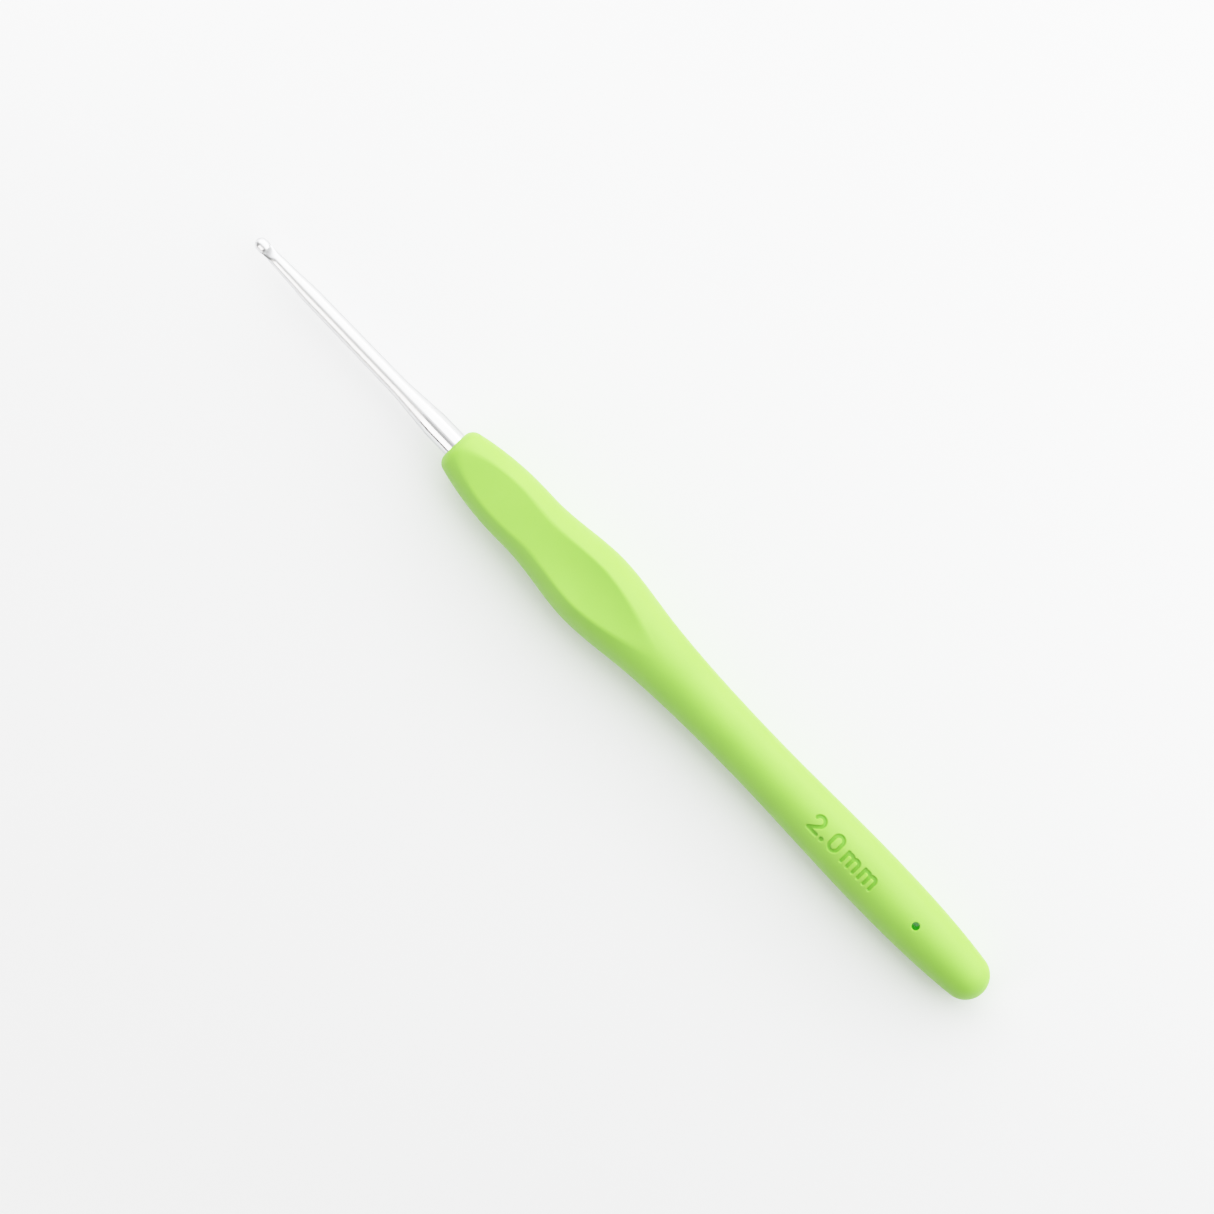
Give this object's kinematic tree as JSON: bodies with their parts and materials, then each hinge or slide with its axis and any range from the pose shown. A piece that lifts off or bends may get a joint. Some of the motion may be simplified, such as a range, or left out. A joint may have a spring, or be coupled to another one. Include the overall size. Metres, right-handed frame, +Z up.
{
  "type": "crochet hook",
  "caption": "Slim metal crochet hook with a leaning lip and a ramped throat, moulded into a soft green grip with hollowed thumb rests, a slim middle and a rounded tail with a cord hole.",
  "frame": {"origin": "middle of the length, on the surface that the hook lies on, under its long axis", "axes": "+X along the hook from its tip to the tail of the grip, +Z up, the way the throat and the upper thumb rest face"},
  "size_m": [0.15, 0.0122, 0.0103],
  "materials": {
    "metal": "polished",
    "core": "moulded",
    "grip": "matte soft-touch"
  },
  "bodies": {
    "root": {"hook_shank": "metal", "handle_core": "core", "soft_grip": "grip"}
  },
  "joints": []
}
